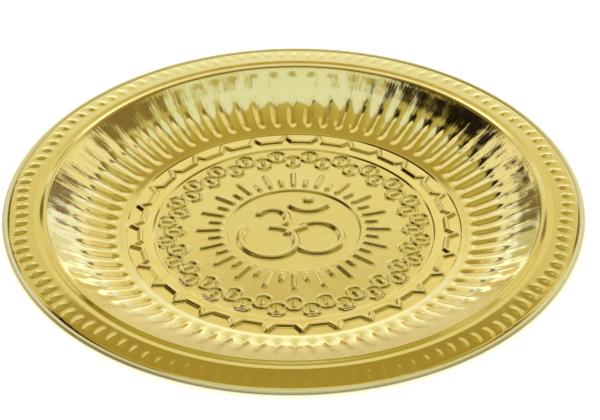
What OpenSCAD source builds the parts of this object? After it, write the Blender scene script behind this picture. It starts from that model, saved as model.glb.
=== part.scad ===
// Puja thali: a round pressed brass plate with a fluted wall, an embossed floor
// and a rolled edge over a stiffening wire. Millimetres, +Z up. The origin is on
// the plate's axis, in the plane that the plate rests on.

/* [Plate] */
// Overall diameter over the rolled edge
plate_d = 230; // [226:1:240]
// Height of the crest above the resting face
plate_h = 14.6; // [13.6:0.1:17]
// Thickness of the brass sheet
sheet_t = 0.6; // [0.5:0.05:0.7]

/* [Rim] */
// Width of the rim from the crest to the outer edge
rim_w = 16.5; // [14.5:0.5:18]
// Drop of the rim from the crest to the top of the rolled edge
rim_drop = 2.2; // [1.6:0.1:2.8]
// Bend radius of the crest, to the middle of the sheet
crest_bend_r = 1.2; // [0.9:0.1:1.5]
// Angle round the crest bend at which the wall meets it
crest_in_a = 160; // [145:5:170]
// Depth of the shallow groove just outside the crest
rim_groove_h = 0.4; // [0.2:0.05:0.6]
// Width of the shallow groove just outside the crest
rim_groove_w = 4.4; // [3.6:0.2:5]

/* [Bead strokes on the rim] */
// Number of bead strokes round the rim
bead_n = 120; // [90:15:120]
// Distance from the outer edge to the middle of the bead row
bead_inset = 6.8; // [6:0.2:7.4]
// Length of one bead stroke along the radius
bead_len = 3.2; // [2.4:0.2:3.8]
// Bend radius across one bead stroke, on its upper side
bead_r = 1.6; // [1.3:0.1:1.9]
// Height of one bead stroke above the rim
bead_h = 0.5; // [0.3:0.05:0.6]
// Number of shallow festoons that the bead row makes
festoon_n = 15; // [5:5:15]
// Sway of the bead row from its middle circle
festoon_sway = 0.8; // [0:0.1:0.9]

/* [Edge wire] */
// Diameter of the wire inside the rolled edge
wire_d = 1.2; // [1:0.1:1.4]
// Clearance round the wire inside the roll
wire_clearance = 0.05; // [0.02:0.01:0.08]
// Gap between the two butted ends of the wire
wire_butt_gap = 0.8; // [0.4:0.1:2]
// Angle round the roll at which its seam opens, under the rim
seam_start = 128; // [124:1:130]
// Opening angle of the roll's seam on its inner side
seam_angle = 32; // [20:1:44]

/* [Fluted wall] */
// Diameter of the floor up to the foot of the flutes
floor_d = 138.4; // [134:0.4:141]
// Radial run of the fluted slope
flute_run = 18.3; // [17:0.1:19.5]
// Height of the knee above the resting face, where the flutes end
knee_h = 8.2; // [7.6:0.1:8.8]
// Number of flutes round the wall
flute_n = 72; // [60:4:72]
// Radius of the round groove between two flutes
flute_groove_r = 1.3; // [1:0.1:1.4]
// Depth of that groove at its upper end
flute_groove_h = 1.1; // [0.8:0.05:1.2]

/* [Floor] */
// Height of the foot of the flutes above the resting face
foot_h = 1.6; // [1.5:0.1:2.2]
// Width of the sloping ring inside the foot of the flutes
foot_ring_w = 3.7; // [3:0.1:4.2]
// Width of the flat band that carries the garland
garland_w = 9.3; // [8.8:0.1:9.8]
// Rise of the garland's band above the resting ring
band_h = 0.5; // [0.3:0.05:0.7]
// Depth of the disc in the middle
disc_depth = 0.7; // [0.4:0.05:0.8]
// Run of each embossed step of the floor
step_w = 0.8; // [0.6:0.1:1]
// Width of the flat ring that the plate rests on
rest_w = 4.4; // [3.6:0.2:5]
// Rise of the floor from its resting ring to the edge of the disc
crown_h = 0.9; // [0.8:0.05:1.1]
// Diameter of the sunk disc in the middle
disc_d = 52; // [50:0.5:53]
// Height of the embossed strokes above the floor
emboss_h = 0.8; // [0.4:0.05:0.9]
// Swell of a stroke's round end beyond the sides of the stroke
end_swell = 0.1; // [0.06:0.02:0.16]

/* [Rays] */
// Number of rays round the disc, long and short in turn
ray_n = 40; // [24:4:40]
// Gap between the disc's step and the rays
ray_gap = 2.4; // [2:0.1:3]
// Length of a long ray
ray_long = 9; // [7:0.5:10]
// Length of a short ray
ray_short = 4.4; // [3:0.2:5.4]
// Width of a ray
ray_w = 2; // [1.4:0.1:2.2]

/* [Vine band] */
// Number of waves of the vine's stem
vine_n = 24; // [20:1:24]
// Distance from the disc's step to the middle of the vine
vine_offset = 22.6; // [21.6:0.2:23.6]
// Sway of the stem from its middle circle
vine_sway = 1.9; // [1.4:0.1:2.1]
// Width of the stem and of its leaves
vine_w = 1.1; // [0.9:0.1:1.3]
// Length of one leaf, up to the middle of the bud at its tip
leaf_len = 3.4; // [2.4:0.1:3.6]
// Diameter of that bud
bud_d = 1.9; // [1.6:0.1:2.2]

/* [Garland] */
// Number of arches of the garland
garland_n = 30; // [26:2:30]
// Depth of one arch, from its cusps to its flat bottom
garland_h = 3.4; // [2.8:0.1:4]
// Length of the flat bottom of one arch
garland_flat = 7.6; // [6:0.2:8]
// Width of the raised line of the garland
garland_line_w = 1.4; // [1.1:0.1:1.6]
// Gap between the cusps and the outer edge of the band
cusp_gap = 0.4; // [0.3:0.05:0.6]
// Turn of the garland about the plate's axis, away from the rays
garland_turn = 2.7; // [0:0.3:12]

/* [Om] */
// Width of the strokes of the Om
om_w = 3.2; // [2.6:0.1:3.4]
// Scale of the Om against its drawn size, which is 41 mm wide
om_scale = 1; // [0.9:0.02:1.04]

/* [Hidden] */
$fn = 96;

// Sheet lines: every profile point lies in the middle of the sheet
half_t = sheet_t / 2;
roll_r = wire_d / 2 + wire_clearance + sheet_t;
roll_c = [plate_d / 2 - roll_r, plate_h - rim_drop - roll_r];
seam_end = seam_start + seam_angle;
butt_a = wire_butt_gap / roll_c.x * 180 / PI;
crest_r = plate_d / 2 - rim_w;
crest_c = [crest_r, plate_h - half_t - crest_bend_r];
foot_r = floor_d / 2;
knee_r = foot_r + flute_run;
garland_out = foot_r - foot_ring_w;
garland_in = garland_out - garland_w;
rest_out = garland_in - step_w;
rest_in = rest_out - rest_w;
disc_r = disc_d / 2;
disc_z = half_t + crown_h - disc_depth;

// Rim line from the end of the crest bend to the top of the roll
rim_fall = atan2(rim_drop, rim_w - roll_r);
crest_out_a = 90 - rim_fall;
rim_start = crest_c + crest_bend_r * [cos(crest_out_a), sin(crest_out_a)];
rim_end = [roll_c.x, roll_c.y + roll_r - half_t];
function rim_z(r) = rim_start.y
    + (rim_end.y - rim_start.y) * (r - rim_start.x) / (rim_end.x - rim_start.x);

// Height of the middle of the floor's gently crowned field
function field_z(r) = half_t + crown_h * (rest_in - r) / (rest_in - disc_r - step_w);
field_tilt = atan2(crown_h, rest_in - disc_r - step_w);

crest_steps = 6;
crest_arc = [for (i = [0:crest_steps])
    let (a = crest_in_a + (crest_out_a - crest_in_a) * i / crest_steps)
    crest_c + crest_bend_r * [cos(a), sin(a)]];

sheet_line = concat(
    [[0, disc_z],
     [disc_r, disc_z],
     [disc_r + step_w, half_t + crown_h],
     [rest_in, half_t],
     [rest_out, half_t],
     [garland_in, half_t + band_h],
     [garland_out, half_t + band_h],
     [foot_r, foot_h],
     [knee_r, knee_h]],
    crest_arc,
    [[crest_r + rim_groove_w / 2, rim_z(crest_r + rim_groove_w / 2) - rim_groove_h],
     [crest_r + rim_groove_w, rim_z(crest_r + rim_groove_w)],
     rim_end]);

// Strokes of the Om about the middle of the disc: centre, radius, from and to angle
om_arcs = [
    [[-8.5, 7.8], 6, -90, 150],
    [[-8.5, -7.8], 9.6, -90, 90],
    [[-8.5, -4.9], 12.5, 150, 270],
    [[9.2, -4.9], 9.9, -140, 120],
    [[6, 22], 9, 220, 320]];
// Its short link: middle, length and turn
om_link_c = [0.8, 0];
om_link_len = 8;
om_link_a = 30;
// Its dot
om_dot_c = [6, 20.4];
om_dot_r = 0.7 * om_w;

// Unit normal of the line from p to q, on its upper side
function up_normal(p, q) = [p.y - q.y, q.x - p.x] / norm(q - p);

// The same line moved by s to its upper side, with mitred corners
function moved(line, s) = [for (i = [0:len(line) - 1])
    let (
        a = up_normal(line[max(i - 1, 0)], line[max(i, 1)]),
        b = up_normal(line[min(i, len(line) - 2)], line[min(i + 1, len(line) - 1)])
    )
    line[i] + (a + b) * s / (1 + a * b)];

// Ring sector from angle a to angle b, with a round knob at each angle in ends
module arc_line(r, a, b, w, ends) {
    span = b - a;
    intersection() {
        difference() {
            circle(r + w / 2);
            circle(r - w / 2);
        }
        if (span < 180)
            polygon([[0, 0], 3 * r * [cos(a), sin(a)],
                3 * r * [cos(a + span / 2), sin(a + span / 2)], 3 * r * [cos(b), sin(b)]]);
        else
            difference() {
                square(6 * r, center = true);
                polygon([[0, 0], 6 * r * [cos(b), sin(b)],
                    6 * r * [cos(b + (360 - span) / 2), sin(b + (360 - span) / 2)],
                    6 * r * [cos(a), sin(a)]]);
            }
    }
    for (e = ends)
        translate(r * [cos(e), sin(e)]) circle(w / 2 + end_swell);
}

// Round grooves down the slope, deepest at the knee and running out at the foot.
// The skin under a groove and behind its blind end is skin thick.
module flute_grooves(skin) {
    slope = atan2(knee_h - foot_h, flute_run);
    groove_len = norm([flute_run, knee_h - foot_h]) - 2 * flute_groove_r;
    dip = atan2(flute_groove_h, groove_len);
    for (i = [0:flute_n - 1])
        rotate([0, 0, (i + 0.5) * 360 / flute_n])
            translate([foot_r, 0, foot_h])
                rotate([0, -slope, 0])
                    translate([0, 0, half_t + flute_groove_r])
                        rotate([0, 90 + dip, 0])
                            cylinder(r = flute_groove_r + skin, h = groove_len + skin);
}

// Bead strokes pressed up from the rim: round bars along the radius
module beads(skin) {
    for (i = [0:bead_n - 1]) {
        a = i * 360 / bead_n;
        r = plate_d / 2 - bead_inset + festoon_sway * cos(a * festoon_n) - bead_len / 2;
        rotate([0, 0, a])
            translate([r, 0, rim_z(r) + half_t + bead_h - bead_r])
                rotate([0, 90 + rim_fall, 0])
                    translate([0, 0, skin])
                        cylinder(r = bead_r - skin, h = bead_len - 2 * skin);
    }
}

// Rolled edge: a tube round the wire, open at its seam
module roll() {
    rotate_extrude()
        translate(roll_c)
            difference() {
                circle(roll_r);
                circle(roll_r - sheet_t);
                polygon([[0, 0], 2 * roll_r * [cos(seam_start), sin(seam_start)],
                    2 * roll_r * [cos(seam_end), sin(seam_end)]]);
            }
}

// The sheet with its fluted wall and its beads, turned so that a groove lies at +X
module sheet() {
    top = moved(sheet_line, half_t);
    low = moved(sheet_line, -half_t);
    top_end = top[len(top) - 1];
    low_end = low[len(low) - 1] + [1, 0];
    rotate([0, 0, 180 / flute_n])
        difference() {
            union() {
                rotate_extrude()
                    polygon(concat([[0, -1]], top, [[top_end.x, -1]]));
                beads(0);
            }
            flute_grooves(0);
            difference() {
                union() {
                    rotate_extrude()
                        polygon(concat([[0, -2]], low, [low_end, [low_end.x, -2]]));
                    beads(sheet_t);
                }
                flute_grooves(sheet_t);
            }
        }
}

// One stroke standing on the crowned field, from radius r along the radius
module field_bar(r, length, w) {
    translate([r, 0, field_z(r)])
        rotate([0, field_tilt, 0])
            translate([0, -w / 2, 0])
                cube([length, w, half_t + emboss_h]);
}

module rays() {
    for (i = [0:ray_n - 1])
        rotate([0, 0, i * 360 / ray_n])
            field_bar(disc_r + step_w + ray_gap, i % 2 == 0 ? ray_long : ray_short, ray_w);
}

// Vine: a stem of arcs that swing out and in, with a leaf and its bud in each bend
module vine() {
    mid_r = disc_r + step_w + vine_offset;
    half_chord = mid_r * sin(90 / vine_n);
    arc_r = (half_chord ^ 2 + vine_sway ^ 2) / (2 * vine_sway);
    open_a = asin(half_chord / arc_r);
    chord_r = mid_r * cos(90 / vine_n);
    translate([0, 0, half_t])
        linear_extrude(field_z(mid_r - vine_sway) + emboss_h)
            for (i = [0:2 * vine_n - 1]) {
                out = i % 2 == 0 ? 1 : -1;
                rotate(i * 180 / vine_n)
                    translate([chord_r + out * (vine_sway - arc_r), 0]) {
                        rotate(out > 0 ? 0 : 180)
                            arc_line(arc_r, -open_a, open_a, vine_w, [out * open_a]);
                        translate([out * (arc_r - vine_sway - leaf_len / 2), 0])
                            square([leaf_len, vine_w], center = true);
                        translate([out * (arc_r - vine_sway - leaf_len), 0]) circle(bud_d / 2);
                    }
            }
}

// Straight line from p to q, with a round knob at q
module bar_line(p, q, w) {
    translate(p)
        rotate(atan2(q.y - p.y, q.x - p.x))
            translate([0, -w / 2]) square([norm(q - p), w]);
    translate(q) circle(w / 2 + end_swell);
}

// Garland: arches that hang towards the middle, each a flat run between two legs
module garland() {
    cusp_r = garland_out - cusp_gap - end_swell - garland_line_w / 2;
    half_pitch = 180 / garland_n;
    low_x = cusp_r * cos(half_pitch) - garland_h;
    bend = [low_x, garland_flat / 2];
    cusp = cusp_r * [cos(half_pitch), sin(half_pitch)];
    translate([0, 0, half_t + band_h])
        linear_extrude(half_t + emboss_h)
            for (i = [0:garland_n - 1])
                rotate(garland_turn + i * 2 * half_pitch) {
                    bar_line([cusp.x, -cusp.y], [bend.x, -bend.y], garland_line_w);
                    bar_line([bend.x, -bend.y], bend, garland_line_w);
                    bar_line(bend, cusp, garland_line_w);
                }
}

// The Om, drawn with round strokes about the middle of the disc
module om() {
    translate([0, 0, disc_z])
        linear_extrude(half_t + emboss_h)
            scale(om_scale) {
                for (arc = om_arcs)
                    translate(arc[0]) arc_line(arc[1], arc[2], arc[3], om_w, [arc[2], arc[3]]);
                translate(om_link_c) rotate(om_link_a) square([om_link_len, om_w], center = true);
                translate(om_dot_c) circle(om_dot_r);
            }
}

module dish() {
    color("gold")
        union() {
            sheet();
            roll();
            rays();
            vine();
            garland();
            om();
        }
}

module edge_wire() {
    color("silver")
        rotate([0, 0, butt_a / 2])
            rotate_extrude(angle = 360 - butt_a)
                translate(roll_c)
                    circle(wire_d / 2);
}

dish();
edge_wire();
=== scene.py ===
import math

import bmesh
import bpy
import numpy as np
from mathutils import Matrix, Vector


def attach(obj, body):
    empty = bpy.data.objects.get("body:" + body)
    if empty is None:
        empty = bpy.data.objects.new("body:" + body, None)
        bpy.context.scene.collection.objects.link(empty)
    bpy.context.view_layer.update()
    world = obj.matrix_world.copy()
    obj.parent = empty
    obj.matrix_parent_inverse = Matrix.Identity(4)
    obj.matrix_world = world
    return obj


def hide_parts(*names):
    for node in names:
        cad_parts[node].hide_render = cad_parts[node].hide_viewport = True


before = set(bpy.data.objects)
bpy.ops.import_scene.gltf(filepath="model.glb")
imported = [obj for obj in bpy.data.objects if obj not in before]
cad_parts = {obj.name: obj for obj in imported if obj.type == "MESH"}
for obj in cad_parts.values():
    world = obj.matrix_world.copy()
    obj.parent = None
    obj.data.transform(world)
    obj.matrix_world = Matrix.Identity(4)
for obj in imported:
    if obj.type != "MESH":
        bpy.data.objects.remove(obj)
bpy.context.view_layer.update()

MM = 0.001

# The sheet and its rolled edge, in millimetres
SHEET_T = 0.6
HALF_T = SHEET_T / 2
ROLL_C = (113.48, 11.15)
ROLL_MID_R = 1.2
ROLL_START_A, ROLL_END_A = 140, -205

# Middle line of the sheet in four parts: radius, height and bend radius of each corner, and the
# longest chord on the run that follows it
DISC_CUT_R, DISC_Z = 25.2, 0.5
FLOOR_LINE = [
    (DISC_CUT_R, DISC_Z, 0, 1.0),
    (26.2, 0.5, 0.4, 1.0),
    (27.0, 1.2, 0.4, 0.55),
    (39.0, 0.75, 0, 0.7),
    (43.0, 0.6, 0, 0.36),
    (51.0, 0.3, 6, 0.25),
    (54.2, 0.3, 0, 1.0),
]
BORDER_LINE = [
    (54.2, 0.3, 0, 1.0),
    (55.5, 0.3, 0.5, 1.0),
    (56.2, 0.8, 0.5, 1.0),
    (59.0, 0.75, 0, 0.36),
    (66.2, 0.63, 0.2, 1.0),
    (66.75, 1.08, 0.2, 1.0),
    (67.4, 1.15, 0, 1.0),
]
WALL_LINE = [
    (67.4, 1.15, 0, 1.0),
    (69.2, 1.623, 0.8, 0.8),
    (75.0, 2.9, 30, 0.7),
    (82.0, 5.3, 30, 0.7),
    (89.0, 8.7, 30, 0.9),
    (95.8, 12.84, 0, 1.0),
]
RIM_LINE = [
    (95.8, 12.84, 0, 1.0),
    (97.3, 13.75, 0.4, 1.0),
    (97.704, 14.429, 0.75, 1.5),
    (100.0, 13.5, 1.2, 1.2),
    (102.2, 13.75, 1.6, 1.6),
    (104.6, 13.4091, 0, 0.5),
    (111.4, 12.44, 0.5, 1.0),
    (112.3, 12.08, 0, 1.0),
]

# How finely the pieces are meshed: columns of faces round each ring, and how many times longer
# the chords are on its underside
FLOOR_COLUMNS, FLOOR_UNDER = 912, 4
BORDER_COLUMNS, BORDER_UNDER = 1200, 3
WALL_COLUMNS, WALL_UNDER = 1008, 1.5
RIM_COLUMNS, RIM_UNDER = 840, 2
ROLL_STEPS, ROLL_UNDER_STEPS = 23, 17
DISC_GRID = 170
# Each ring is spun as one wedge, which is then repeated; points closer than this are one
WEDGES, MERGE = 24, 0.001
# Degrees: the largest turn between chords in a bend, and the turn from which an edge is sharp
BEND_STEP, SHARP_EDGE = 10, 50
# How far the columns are drawn together where a pattern is steep
GATHERED_SHARE = 0.5

# Share of a pressed line's flank that is rounded, the rest being even
ROUNDED_SHARE = 0.3
# Half width at the foot of each pressed line, and the width of its flank
OM_LINE, OM_DOT_LINE = (1.9, 1.3), (2.6, 1.3)
RAY_LINE = (1.35, 1.05)
STEM_LINE, LEAF_LINE, BUD_LINE = (0.9, 0.8), (0.95, 0.9), (1.2, 1.0)
ARCH_LINE, KNOB_LINE = (1.3, 1.0), (1.4, 1.05)
BEAD_LINE = (1.2, 0.6)

# The Om: its strokes as arcs, each with its centre, radius, start and end
OM_ARCS = [
    ((-8.5, 7.8), 6.0, -90, 150),
    ((-8.5, -7.8), 9.6, -90, 90),
    ((-8.5, -4.9), 12.5, 150, 270),
    ((9.2, -4.9), 9.9, -140, 120),
    ((6.0, 22.0), 9.0, 220, 320),
]
OM_LINK = ((-2.66, -2.0), (4.26, 2.0))
OM_DOT = (6.0, 20.4)
OM_H = 1.15

# The rays round it, long and short by turns
RAY_PITCH = 9.0
RAY_START_R, LONG_RAY_R, SHORT_RAY_R = 29.9, 37.6, 33.0
RAY_FIELD_R = 41
RAY_H = 1.0

# The vine, with the places of leaf and bud measured out from the middle of its band
VINE_N, VINE_R, VINE_SWAY = 24, 49.0, 1.9
LEAF_X, LEAF_REACH = -1.5, 1.2
BUD_X = -2.8
VINE_H = 0.8

# The garland of arches
GARLAND_N, GARLAND_TURN = 30, 2.7
CUSP_R, GARLAND_LOW_R, GARLAND_FLAT = 64.3, 60.6, 7.6
GARLAND_H = 1.0

# The flutes: radii over which they rise, sink and at last fade out
FLUTE_N = 72
FLUTE_PITCH = 360 / FLUTE_N
FLUTE_FOOT = (69.0, 73.8)
FLUTE_END = (80.9, 88.4)
FLUTE_FADE = (93.0, 95.8)
FLUTE_ROUNDNESS = 1.2
FLUTE_H, WEAK_FLUTE_H = 0.70, 0.16

# The bead strokes, whose row sways in shallow festoons and is weak at the front and back
BEAD_PITCH, BEAD_TURN = 3.0, -0.5
BEAD_ROW_R, BEAD_REACH, BEAD_TAPER = 107.7, 3.4, 3.2
FESTOON_N, FESTOON_SWAY, FESTOON_TURN = 15, 0.8, 2.5
BEAD_H, WEAK_BEAD_SHARE = 0.64, 0.3
BEAD_SIDES = (0.4, 0.9)


# The sheet's section and the shells turned from it

def bent_line(corners, coarser=1):
    """Middle line through the corners, with round bends and chords coarser times as long."""
    bend_step = math.radians(BEND_STEP) * coarser
    line = [Vector(corners[0][:2])]
    for a, b, c in zip(corners, corners[1:], corners[2:]):
        p, q, s = Vector(a[:2]), Vector(b[:2]), Vector(c[:2])
        into, out = (q - p).normalized(), (s - q).normalized()
        turn = abs(into.angle_signed(out))
        reach = b[2] * math.tan(turn / 2)
        bend = [q]
        if reach:
            steps = max(2, math.ceil(turn / bend_step))
            bend = [round_off(q - into * reach, q, q + out * reach, k / steps)
                    for k in range(steps + 1)]
        line += run(line[-1], bend[0], a[3] * coarser)[1:] + bend[1:]
    return line + run(line[-1], Vector(corners[-1][:2]), corners[-2][3] * coarser)[1:]


def round_off(start, corner, end, share):
    """Point on the curve that rounds a corner off."""
    return start.lerp(corner, share).lerp(corner.lerp(end, share), share)


def run(start, end, chord):
    """Points from start to end, no further apart than chord."""
    parts = max(1, math.ceil((end - start).length / chord))
    return [start.lerp(end, k / parts) for k in range(parts + 1)]


def up_normal(p, q):
    along = (q - p).normalized()
    return Vector((-along.y, along.x))


def skin(line, side):
    """The line moved by half the sheet's thickness to its upper (1) or lower (-1) side."""
    moved = []
    for i, p in enumerate(line):
        a = up_normal(line[max(i - 1, 0)], line[max(i, 1)])
        b = up_normal(line[min(i, len(line) - 2)], line[min(i + 1, len(line) - 1)])
        moved.append(p + (a + b) * side * HALF_T / (1 + a.dot(b)))
    return moved


def turned_shell(name, upper, lower, columns):
    """A closed shell of the sheet: its section, upper side out and lower side back, spun round."""
    bm = bmesh.new()
    section = [bm.verts.new((p.x * MM, 0, p.y * MM)) for p in upper + lower[::-1]]
    edges = [bm.edges.new((a, b)) for a, b in zip(section, section[1:] + section[:1])]
    turn = 2 * math.pi / WEDGES
    about = {"cent": (0, 0, 0), "axis": (0, 0, 1), "dvec": (0, 0, 0)}
    bmesh.ops.spin(bm, geom=section + edges, angle=turn, steps=columns // WEDGES, **about)
    wedge = bm.verts[:] + bm.edges[:] + bm.faces[:]
    bmesh.ops.spin(bm, geom=wedge, angle=2 * math.pi - turn, steps=WEDGES - 1,
                   use_duplicate=True, **about)
    bmesh.ops.remove_doubles(bm, verts=bm.verts, dist=MERGE * MM)
    bmesh.ops.recalc_face_normals(bm, faces=bm.faces)
    return finished_mesh(name, bm)


def sheet_ring(name, line, columns, under):
    """A ring of the sheet along one part of its middle line."""
    return turned_shell(name, skin(bent_line(line), 1), skin(bent_line(line, under), -1), columns)


def finished_mesh(name, bm):
    for face in bm.faces:
        face.smooth = True
    for edge in bm.edges:
        flat = len(edge.link_faces) == 2 and edge.calc_face_angle() < math.radians(SHARP_EDGE)
        edge.smooth = flat
    mesh = bpy.data.meshes.new(name)
    bm.to_mesh(mesh)
    bm.free()
    piece = bpy.data.objects.new(name, mesh)
    bpy.context.collection.objects.link(piece)
    return piece


# The pressed patterns, as heights in millimetres over the sheet

def soft_step(x, low, high):
    t = np.clip((x - low) / (high - low), 0, 1)
    return t * t * (3 - 2 * t)


def ridge(distance, half_width, flank):
    """Section of a pressed line: 1 along its back, with steep even flanks down to its foot."""
    inward = half_width - distance
    rounded, even = soft_step(inward, 0, flank), np.clip(inward / flank, 0, 1)
    return ROUNDED_SHARE * rounded + (1 - ROUNDED_SHARE) * even


def nearest_turn(angle, pitch, first=0.0):
    """Angle from the nearest copy of a pattern, and that copy's number."""
    k = np.round((angle - first) / pitch)
    return angle - first - k * pitch, k


def arc_distance(x, y, centre, radius, start, end):
    """Distance from an arc from angle start to angle end, in degrees, and from its ends."""
    dx, dy = x - centre[0], y - centre[1]
    a = (np.degrees(np.arctan2(dy, dx)) - start) % 360
    on_arc = np.abs(np.hypot(dx, dy) - radius)
    tips = [np.hypot(dx - radius * math.cos(t), dy - radius * math.sin(t))
            for t in (math.radians(start), math.radians(end))]
    return np.where(a <= end - start, on_arc, np.minimum(*tips))


def segment_distance(x, y, start, end):
    ex, ey = end[0] - start[0], end[1] - start[1]
    t = np.clip(((x - start[0]) * ex + (y - start[1]) * ey) / (ex * ex + ey * ey), 0, 1)
    return np.hypot(x - start[0] - t * ex, y - start[1] - t * ey)


def om_relief(r, angle):
    x, y = r * np.cos(np.radians(angle)), r * np.sin(np.radians(angle))
    strokes = [arc_distance(x, y, *arc) for arc in OM_ARCS]
    strokes.append(segment_distance(x, y, *OM_LINK))
    lines = ridge(np.minimum.reduce(strokes), *OM_LINE)
    dot = ridge(np.hypot(x - OM_DOT[0], y - OM_DOT[1]), *OM_DOT_LINE)
    return OM_H * np.maximum(lines, dot)


def ray_relief(r, angle):
    off, k = nearest_turn(angle, RAY_PITCH)
    across = r * np.radians(off)
    last = np.where(k % 2 == 0, LONG_RAY_R, SHORT_RAY_R)
    beyond = np.maximum(np.maximum(RAY_START_R - r, r - last), 0)
    return RAY_H * ridge(np.hypot(across, beyond), *RAY_LINE)


def vine_relief(r, angle):
    """A stem that swings out and in, with a leaf and a bud in each bend."""
    off, k = nearest_turn(angle, 180 / VINE_N)
    out = np.where(k % 2 == 0, 1, -1)
    half_chord = VINE_R * math.sin(math.radians(90 / VINE_N))
    arc_r = (half_chord ** 2 + VINE_SWAY ** 2) / (2 * VINE_SWAY)
    x = (r * np.cos(np.radians(off)) - VINE_R) * out
    y = r * np.sin(np.radians(off))
    stem = np.abs(np.hypot(x - VINE_SWAY + arc_r, y) - arc_r)
    leaf = np.hypot(np.maximum(np.abs(x - LEAF_X) - LEAF_REACH, 0), y)
    bud = np.hypot(x - BUD_X, y)
    return VINE_H * np.maximum.reduce([
        ridge(stem, *STEM_LINE), ridge(leaf, *LEAF_LINE), ridge(bud, *BUD_LINE)])


def floor_relief(r, angle):
    return np.where(r < RAY_FIELD_R, ray_relief(r, angle), vine_relief(r, angle))


def garland_relief(r, angle):
    """Arches that hang towards the middle, each a flat run and two legs, knobs at the cusps."""
    off, _ = nearest_turn(angle, 360 / GARLAND_N, GARLAND_TURN)
    x, y = r * np.cos(np.radians(off)), np.abs(r * np.sin(np.radians(off)))
    middle_at = (GARLAND_LOW_R, 0)
    bend = (GARLAND_LOW_R, GARLAND_FLAT / 2)
    cusp = (CUSP_R * math.cos(math.pi / GARLAND_N), CUSP_R * math.sin(math.pi / GARLAND_N))
    arch = np.minimum(segment_distance(x, y, middle_at, bend), segment_distance(x, y, bend, cusp))
    knob = np.hypot(x - cusp[0], y - cusp[1])
    return GARLAND_H * np.maximum(ridge(arch, *ARCH_LINE), ridge(knob, *KNOB_LINE))


def flute_relief(r, angle):
    """Round lobes side by side, deep on the lower wall and shallow on the band above it."""
    off, _ = nearest_turn(angle, FLUTE_PITCH, FLUTE_PITCH / 2)
    sideways = np.abs(off) / (FLUTE_PITCH / 2)
    round_back = -(0.5 - 0.5 * np.cos(np.pi * sideways)) ** FLUTE_ROUNDNESS
    end = soft_step(r, *FLUTE_END)
    deep = FLUTE_H * soft_step(r, *FLUTE_FOOT) * (1 - end)
    weak = WEAK_FLUTE_H * end * (1 - soft_step(r, *FLUTE_FADE))
    return round_back * (deep + weak)


def bead_relief(r, angle):
    off, _ = nearest_turn(angle, BEAD_PITCH, BEAD_TURN)
    sway = FESTOON_SWAY * np.cos(np.radians((angle - FESTOON_TURN) * FESTOON_N))
    across = r * np.radians(off)
    along = np.abs(r - (BEAD_ROW_R + sway))
    side_share = soft_step(np.abs(np.cos(np.radians(angle))), *BEAD_SIDES)
    height = BEAD_H * (WEAK_BEAD_SHARE + (1 - WEAK_BEAD_SHARE) * side_share)
    taper = soft_step(BEAD_REACH - along, 0, BEAD_TAPER)
    return height * ridge(np.abs(across), *BEAD_LINE) * taper


def press(piece, relief, column_shift=None):
    """Presses a pattern through the sheet and keeps how deep each place lies."""
    mesh = piece.data
    points = np.empty(len(mesh.vertices) * 3, np.float32)
    mesh.vertices.foreach_get("co", points)
    points = points.reshape(-1, 3).astype(float)
    x, y = points[:, 0] / MM, points[:, 1] / MM
    r, angle = np.hypot(x, y), np.degrees(np.arctan2(y, x))
    if column_shift:
        angle = angle + column_shift(angle)
        x, y = r * np.cos(np.radians(angle)), r * np.sin(np.radians(angle))
    height = relief(r, angle)
    points[:, 0], points[:, 1] = x * MM, y * MM
    points[:, 2] += height * MM
    mesh.vertices.foreach_set("co", points.ravel())
    depth = mesh.attributes.new("pressed", "FLOAT", "POINT")
    depth.data.foreach_set("value", height.astype(np.float32))
    mesh.update()


def gathered(pitch, first):
    """Draws the columns together at each copy of a pattern."""
    turn = 2 * math.pi / pitch
    return lambda angle: -GATHERED_SHARE * np.sin((angle - first) * turn) / turn


# The pieces of the dish

def middle():
    """The sunk disc with the Om, a square grid that is drawn out to a round one."""
    bm = bmesh.new()
    bmesh.ops.create_grid(bm, x_segments=DISC_GRID, y_segments=DISC_GRID, size=1)
    for v in bm.verts:
        x, y = v.co.x, v.co.y
        v.co.x = x * math.sqrt(1 - y * y / 2) * DISC_CUT_R * MM
        v.co.y = y * math.sqrt(1 - x * x / 2) * DISC_CUT_R * MM
        v.co.z = (DISC_Z + HALF_T) * MM
    low = bmesh.ops.extrude_face_region(bm, geom=bm.faces[:])
    bmesh.ops.translate(bm, vec=(0, 0, -SHEET_T * MM),
                        verts=[g for g in low["geom"] if isinstance(g, bmesh.types.BMVert)])
    bmesh.ops.recalc_face_normals(bm, faces=bm.faces)
    piece = finished_mesh("dish_middle", bm)
    press(piece, om_relief)
    return piece


def floor_ring():
    """The floor round the disc, with its rays and its vine band."""
    piece = sheet_ring("dish_floor", FLOOR_LINE, FLOOR_COLUMNS, FLOOR_UNDER)
    press(piece, floor_relief)
    return piece


def border():
    """The step and the garland round the floor."""
    piece = sheet_ring("dish_border", BORDER_LINE, BORDER_COLUMNS, BORDER_UNDER)
    press(piece, garland_relief)
    return piece


def wall():
    """The fluted wall and the plain band above it."""
    piece = sheet_ring("dish_wall", WALL_LINE, WALL_COLUMNS, WALL_UNDER)
    press(piece, flute_relief, gathered(FLUTE_PITCH, 0))
    return piece


def roll(steps):
    """Middle line of the sheet where it is rolled round the wire."""
    return [Vector(ROLL_C) + ROLL_MID_R * Vector((math.cos(t), math.sin(t)))
            for t in np.radians(np.linspace(ROLL_START_A, ROLL_END_A, steps + 1))]


def rim():
    """The crest, the rim with its beads, and the edge rolled over the wire."""
    upper = skin(bent_line(RIM_LINE) + roll(ROLL_STEPS), 1)
    lower = skin(bent_line(RIM_LINE, RIM_UNDER) + roll(ROLL_UNDER_STEPS), -1)
    piece = turned_shell("dish_rim", upper, lower, RIM_COLUMNS)
    press(piece, bead_relief, gathered(BEAD_PITCH, BEAD_TURN))
    return piece


# The finishes

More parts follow.
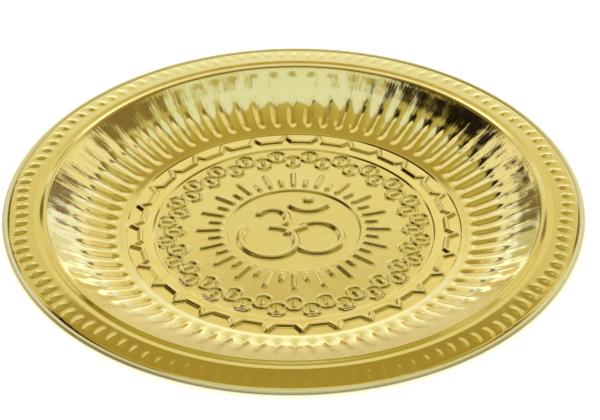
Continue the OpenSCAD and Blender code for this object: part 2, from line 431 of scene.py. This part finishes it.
class Recipe:
    """A node tree that is built up step by step."""

    def __init__(self, tree):
        self.nodes = tree.nodes
        self.links = tree.links

    def put(self, value, socket):
        if isinstance(value, bpy.types.NodeSocket):
            self.links.new(value, socket)
        else:
            socket.default_value = value

    def math(self, kind, a, b=0.0):
        node = self.nodes.new("ShaderNodeMath")
        node.operation = kind
        self.put(a, node.inputs[0])
        self.put(b, node.inputs[1])
        return node.outputs[0]

    def times(self, a, *more):
        for b in more:
            a = self.math("MULTIPLY", a, b)
        return a

    def total(self, a, *more):
        for b in more:
            a = self.math("ADD", a, b)
        return a

    def ramp(self, value, low, high, out_low=0.0, out_high=1.0):
        """A soft change from out_low to out_high while the value goes from low to high."""
        node = self.nodes.new("ShaderNodeMapRange")
        node.interpolation_type = "SMOOTHSTEP"
        self.put(value, node.inputs["Value"])
        for socket, number in (("From Min", low), ("From Max", high),
                               ("To Min", out_low), ("To Max", out_high)):
            node.inputs[socket].default_value = number
        return node.outputs["Result"]

    def noise(self, where, scale, detail=3.0, roughness=0.55):
        node = self.nodes.new("ShaderNodeTexNoise")
        self.put(where, node.inputs["Vector"])
        node.inputs["Scale"].default_value = scale
        node.inputs["Detail"].default_value = detail
        node.inputs["Roughness"].default_value = roughness
        return node.outputs["Fac"]

    def blend(self, share, a, b):
        node = self.nodes.new("ShaderNodeMix")
        node.data_type = "RGBA"
        self.put(share, node.inputs["Factor"])
        self.put(a, node.inputs["A"])
        self.put(b, node.inputs["B"])
        return node.outputs["Result"]

    def split(self, where):
        node = self.nodes.new("ShaderNodeSeparateXYZ")
        self.put(where, node.inputs[0])
        return node.outputs

    def join(self, x, y, z):
        node = self.nodes.new("ShaderNodeCombineXYZ")
        for value, socket in zip((x, y, z), node.inputs):
            self.put(value, socket)
        return node.outputs[0]

    def bump(self, height, distance, strength, under=None):
        node = self.nodes.new("ShaderNodeBump")
        self.put(height, node.inputs["Height"])
        node.inputs["Distance"].default_value = distance
        node.inputs["Strength"].default_value = strength
        if under:
            self.links.new(under, node.inputs["Normal"])
        return node.outputs[0]


class Finish(Recipe):
    """A material's recipe, with its shader, the place on the piece and its radius."""

    def __init__(self, name):
        self.material = bpy.data.materials.new(name)
        self.material.use_nodes = True
        super().__init__(self.material.node_tree)
        self.shader = self.nodes["Principled BSDF"]
        self.place = self.nodes.new("ShaderNodeTexCoord").outputs["Object"]
        self.x, self.y, self.z = self.split(self.place)
        self.radius = self.math("SQRT", self.total(self.times(self.x, self.x),
                                                   self.times(self.y, self.y)))

    def drawn_noise(self, round_scale, radius_scale, detail, roughness):
        """Noise that is drawn out round the axis or along the radius."""
        where = self.join(self.times(self.math("DIVIDE", self.x, self.radius), round_scale),
                          self.times(self.math("DIVIDE", self.y, self.radius), round_scale),
                          self.times(self.radius, radius_scale))
        return self.noise(where, 1.0, detail, roughness)

    def give(self, **sockets):
        """Sets or links the shader's sockets, named with _ for a space."""
        for name, value in sockets.items():
            self.put(value, self.shader.inputs[name.replace("_", " ")])


# Brass colours, with painted shade for the rim and painted highlights for the upper wall and the
# roll
DEEP_BRASS, PALE_BRASS = (0.88, 0.71, 0.28, 1), (0.905, 0.75, 0.33, 1)
RIM_PAINTED_SHADE = (0.785, 0.625, 0.215, 1)
UPPER_WALL_PAINTED_HIGHLIGHT = (0.93, 0.82, 0.45, 1)
ROLL_PAINTED_HIGHLIGHT = (0.92, 0.87, 0.64, 1)
STAINED_BRASS, TARNISHED_BRASS = (0.68, 0.47, 0.12, 1), (0.45, 0.28, 0.05, 1)

# Where the brass changes its look, in metres from the axis: where the change starts and ends
FLOOR_STOP = (0.0535, 0.0565)
HAZE_START = (0.074, 0.082)
UPPER_WALL_START = (0.077, 0.083)
BAND_START, BAND_STOP = (0.085, 0.088), (0.096, 0.098)
RIM_START = (0.094, 0.099)
CREST_START = (0.0955, 0.0975)
ROLL_START = (0.1120, 0.1128)
# The same along the plate, from its front to its back
HAZE_STOP_Y, RIPPLE_START_Y = (-0.075, -0.045), (-0.06, 0.02)
# Depth of the pressed hollows that hold tarnish, in millimetres
TARNISH_DEPTH = (-0.62, -0.45)
# How fully the rim takes its painted shade, and the upper wall and the roll their painted
# highlights
PAINTED_LIGHT_SHARE = 0.85
# Roughness where the sheet is best polished and where it is worst, and what is added elsewhere
BEST_POLISH, WORST_POLISH = 0.06, 0.11
CLOUD_DULLNESS, FLOOR_DULLNESS, ROLL_DULLNESS, HAZE_DULLNESS = 0.04, 0.13, 0.26, 0.30


def pressed_brass():
    """Brass sheet, pressed and then buffed: rings of fine lines, tarnish in the hollows; painted
    shade on the rim, painted highlights on the upper wall and roll.
    """
    f = Finish("pressed_brass")
    hairlines = f.drawn_noise(round_scale=5.0, radius_scale=5200.0, detail=2.0, roughness=0.6)
    ripples = f.drawn_noise(round_scale=75.0, radius_scale=170.0, detail=2.0, roughness=0.5)
    clouds = f.noise(f.place, scale=45.0, detail=4.0)
    spots = f.noise(f.place, scale=260.0, detail=5.0, roughness=0.65)
    grain = f.noise(f.place, scale=1400.0, detail=3.0)
    dents = f.noise(f.place, scale=140.0, detail=2.0, roughness=0.45)

    pressed = f.nodes.new("ShaderNodeAttribute")
    pressed.attribute_name = "pressed"
    hollow = f.ramp(pressed.outputs["Fac"], *TARNISH_DEPTH, 1.0, 0.0)
    below_crest = f.ramp(f.radius, *CREST_START, 1.0, 0.0)
    # Where the roll lies: it takes a painted highlight and extra dullness
    roll_share = f.ramp(f.radius, *ROLL_START)
    floor_share = f.ramp(f.radius, *FLOOR_STOP, 1.0, 0.0)
    # Where the upper wall's painted highlight lies, below the crest
    upper_wall_highlight_share = f.times(f.ramp(f.radius, *UPPER_WALL_START, 0.0, PAINTED_LIGHT_SHARE), below_crest)
    band_share = f.times(f.ramp(f.radius, *BAND_START), f.ramp(f.radius, *BAND_STOP, 1.0, 0.0))
    stain = f.ramp(spots, 0.55, 0.8, 0.0, 0.2)
    tarnish = f.times(hollow, f.ramp(spots, 0.2, 0.7, 0.1, 0.45))

    tone = f.blend(f.ramp(clouds, 0.35, 0.65), DEEP_BRASS, PALE_BRASS)
    # Painted shade: the rim gets a darker brass that stands in for its dimmer reflection
    tone = f.blend(f.ramp(f.radius, *RIM_START, 0.0, PAINTED_LIGHT_SHARE), tone, RIM_PAINTED_SHADE)
    # Painted highlight: the upper wall gets a paler brass that stands in for its brighter
    # reflection
    tone = f.blend(upper_wall_highlight_share, tone, UPPER_WALL_PAINTED_HIGHLIGHT)
    tone = f.blend(stain, tone, STAINED_BRASS)
    tone = f.blend(tarnish, tone, TARNISHED_BRASS)
    # Painted highlight: the roll gets a pale brass that stands in for its reflection of the white
    # table
    tone = f.blend(f.times(roll_share, PAINTED_LIGHT_SHARE), tone, ROLL_PAINTED_HIGHLIGHT)

    haze = f.times(f.ramp(f.y, *HAZE_STOP_Y, HAZE_DULLNESS, 0.0),
                   f.ramp(f.radius, *HAZE_START), below_crest)
    dullness = f.total(f.ramp(grain, 0.3, 0.7, BEST_POLISH, WORST_POLISH),
                       f.ramp(clouds, 0.3, 0.7, 0.0, CLOUD_DULLNESS),
                       f.times(floor_share, FLOOR_DULLNESS),
                       f.times(roll_share, ROLL_DULLNESS), haze)

    far_ripples = f.times(ripples, band_share, f.ramp(f.y, *RIPPLE_START_Y))
    relief = f.bump(hairlines, distance=0.00002, strength=0.15)
    relief = f.bump(dents, distance=0.0006, strength=0.1, under=relief)
    relief = f.bump(far_ripples, distance=0.0004, strength=0.2, under=relief)
    relief = f.bump(grain, distance=0.00003, strength=0.25, under=relief)
    f.give(Base_Color=tone, Roughness=dullness, Metallic=1.0, Normal=relief)
    return f.material


BRIGHT_STEEL, DULL_STEEL = (0.58, 0.58, 0.57, 1), (0.42, 0.42, 0.42, 1)
RUSTED_STEEL = (0.30, 0.20, 0.13, 1)


def drawn_steel():
    """Soft steel wire with the fine lines of its drawing along it."""
    f = Finish("drawn_steel")
    fine, long = 9000.0, 12.0
    angle = f.math("ARCTAN2", f.y, f.x)
    along = f.join(f.times(f.radius, fine), f.times(angle, long), f.times(f.z, fine))
    lines = f.noise(along, scale=1.0, detail=3.0)
    rust = f.ramp(f.noise(f.place, scale=180.0, detail=5.0), 0.55, 0.75, 0.0, 0.4)
    tone = f.blend(rust, f.blend(lines, DULL_STEEL, BRIGHT_STEEL), RUSTED_STEEL)
    f.give(Base_Color=tone, Roughness=f.ramp(lines, 0.3, 0.7, 0.28, 0.42), Metallic=1.0,
           Normal=f.bump(lines, distance=0.00002, strength=0.4))
    return f.material


# Table, light and camera

def table_top():
    bm = bmesh.new()
    bmesh.ops.create_grid(bm, x_segments=1, y_segments=1, size=4)
    mesh = bpy.data.meshes.new("table_top")
    bm.to_mesh(mesh)
    bm.free()
    top = bpy.data.objects.new("table_top", mesh)
    bpy.context.collection.objects.link(top)
    white = bpy.data.materials.new("white_table")
    white.use_nodes = True
    shader = white.node_tree.nodes["Principled BSDF"]
    for socket, value in (("Base Color", (0.86, 0.86, 0.86, 1)), ("Roughness", 0.7),
                          ("Emission Color", (0.94, 0.97, 1.0, 1)), ("Emission Strength", 0.9)):
        shader.inputs[socket].default_value = value
    mesh.materials.append(white)


# Light from each height: degrees from straight up, minus is behind the plate, and its colour
SKY_HEIGHTS = [
    (-88, (1.50, 1.56, 1.50)),
    (-79, (1.20, 1.26, 1.24)),
    (-70, (0.93, 1.03, 1.12)),
    (-64, (0.91, 0.94, 0.85)),
    (-59, (0.92, 0.91, 0.68)),
    (-51, (0.94, 0.90, 0.62)),
    (-47, (0.68, 0.61, 0.33)),
    (-43, (0.45, 0.38, 0.13)),
    (-36, (0.45, 0.365, 0.10)),
    (-15, (0.53, 0.47, 0.14)),
    (0, (0.54, 0.49, 0.16)),
    (20, (0.43, 0.37, 0.12)),
    (28, (0.14, 0.10, 0.02)),
    (50, (0.07, 0.05, 0.02)),
    (62, (0.92, 1.03, 1.19)),
    (90, (1.01, 1.12, 1.26)),
]
# Soft panels and dark corners of the room: height and side of the middle, half the height and
# half the width, all in degrees, and the colour
SKY_PATCHES = [
    ((3, 0), (6.5, 13), (0.80, 0.88, 0.78)),
    ((-3, 0), (5, 25), (0.80, 0.88, 0.78)),
    ((-31, 26), (12, 9), (0.80, 0.75, 0.45)),
    ((-88, 31), (13, 13), (0.80, 0.78, 0.58)),
    ((-88, -31), (13, 13), (0.60, 0.56, 0.30)),
    ((2, -40), (11, 18), (0.04, 0.02, 0.01)),
    ((-18, -46), (15, 17), (0.010, 0.005, 0.005)),
    ((-41, -41), (7, 13), (0.92, 0.88, 0.62)),
    ((-54, -41), (6, 7), (0.08, 0.05, 0.02)),
    ((-69, -35), (9, 9), (0.20, 0.16, 0.05)),
    ((-14, 44), (15, 15), (0.24, 0.17, 0.06)),
    ((-39, 40), (8, 13), (0.92, 0.88, 0.62)),
    ((-60, 35), (8, 6), (0.24, 0.18, 0.10)),
    ((-53, -15), (8, 5), (0.84, 0.815, 0.575)),
    ((-53, 15), (8, 5), (0.84, 0.815, 0.575)),
]
# Width of a patch's soft edge, as a share of its half size
PATCH_EDGE = 0.12


def studio_sky():
    """Pale light low behind and before the plate, and a dim warm room with panels above it."""
    world = bpy.data.worlds.new("studio")
    world.use_nodes = True
    f = Recipe(world.node_tree)
    x, y, z = f.split(f.nodes.new("ShaderNodeTexCoord").outputs["Generated"])
    forward = f.math("ARCTAN2", f.times(y, -1.0), z)
    sideways = f.math("ARCSINE", x)

    heights = f.nodes.new("ShaderNodeValToRGB")
    f.put(f.total(f.math("DIVIDE", forward, 2 * math.pi), 0.5), heights.inputs["Fac"])
    stops = heights.color_ramp.elements
    for n, (angle, colour) in enumerate(SKY_HEIGHTS):
        along = angle / 360 + 0.5
        stop = stops[n] if n < 2 else stops.new(along)
        stop.position = along
        stop.color = (*colour, 1)
    sky = heights.outputs["Color"]

    for middle_at, half_size, colour in SKY_PATCHES:
        away = []
        for at, centre, half in zip((forward, sideways), middle_at, half_size):
            off = f.math("SUBTRACT", at, math.radians(centre))
            away.append(f.math("ABSOLUTE", f.math("DIVIDE", off, math.radians(half))))
        furthest = f.math("MAXIMUM", *away)
        share = f.ramp(furthest, 1 - PATCH_EDGE, 1 + PATCH_EDGE, 1.0, 0.0)
        sky = f.blend(share, sky, (*colour, 1))
    f.links.new(sky, f.nodes["Background"].inputs["Color"])
    bpy.context.scene.world = world


def camera():
    """The photo's view: 36.76 degrees above the table, from 1.145 m."""
    elevation, roll_angle, distance, pixels_per_mm = 36.76, -0.526, 1.145, 2.522
    width, height = 600, 420
    centre_x, centre_y = 293.8, 231.0
    cam = bpy.data.cameras.new("camera")
    cam.sensor_width = 36
    cam.lens = pixels_per_mm * distance * 1000 * cam.sensor_width / width
    cam.shift_x = (width / 2 - centre_x) / width
    cam.shift_y = (centre_y - height / 2) / width
    cam.clip_start, cam.clip_end = 0.01, 20
    holder = bpy.data.objects.new("camera", cam)
    a = math.radians(elevation)
    spot = Vector((0, -distance * math.cos(a), distance * math.sin(a) + SHEET_T * MM))
    tilt = Matrix.Rotation(math.radians(90 - elevation), 4, "X")
    lean = Matrix.Rotation(math.radians(roll_angle), 4, "Z")
    holder.matrix_world = Matrix.Translation(spot) @ tilt @ lean
    bpy.context.collection.objects.link(holder)
    bpy.context.scene.camera = holder


# The plate, put together

brass = pressed_brass()
for piece in (middle(), floor_ring(), border(), wall(), rim()):
    piece.data.materials.append(brass)
    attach(piece, "root")
    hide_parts("dish")

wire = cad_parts["edge_wire"]
steel = drawn_steel()
if wire.material_slots:
    wire.material_slots[0].material = steel
else:
    wire.data.materials.append(steel)

table_top()
studio_sky()
camera()

scene = bpy.context.scene
scene.view_settings.view_transform = "Standard"
scene.view_settings.look = "None"
